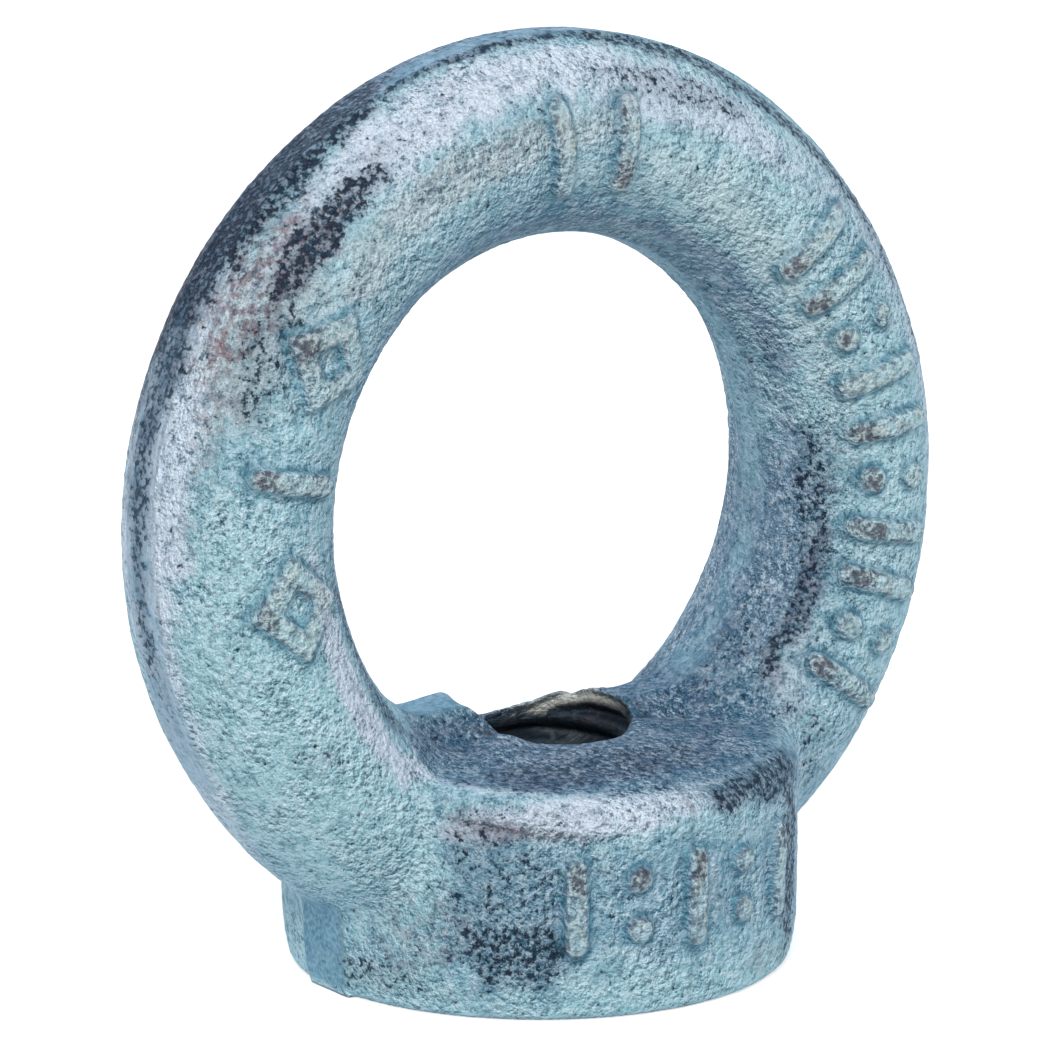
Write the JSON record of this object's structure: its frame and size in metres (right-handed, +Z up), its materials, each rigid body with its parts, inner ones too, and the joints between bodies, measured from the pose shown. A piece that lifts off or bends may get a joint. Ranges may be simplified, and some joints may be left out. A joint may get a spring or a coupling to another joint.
{
  "type": "lifting eye nut",
  "caption": "Forged steel lifting eye nut: an upright ring on a round tapped boss, screwed onto a stud or bolt so that a hook or shackle can lift the load through the eye.",
  "frame": {"origin": "centre of the seat face, where the thread's axis meets it", "axes": "+Z up the thread's axis from the seat to the crown of the ring; the ring stands in the XZ plane, and the eye is open along Y"},
  "size_m": [0.045, 0.0256, 0.0453],
  "materials": {
    "zinc_plated_steel": "forged skin, blue passivated zinc plating, satin"
  },
  "bodies": {
    "root": {"eye_nut": "zinc_plated_steel"}
  },
  "joints": []
}
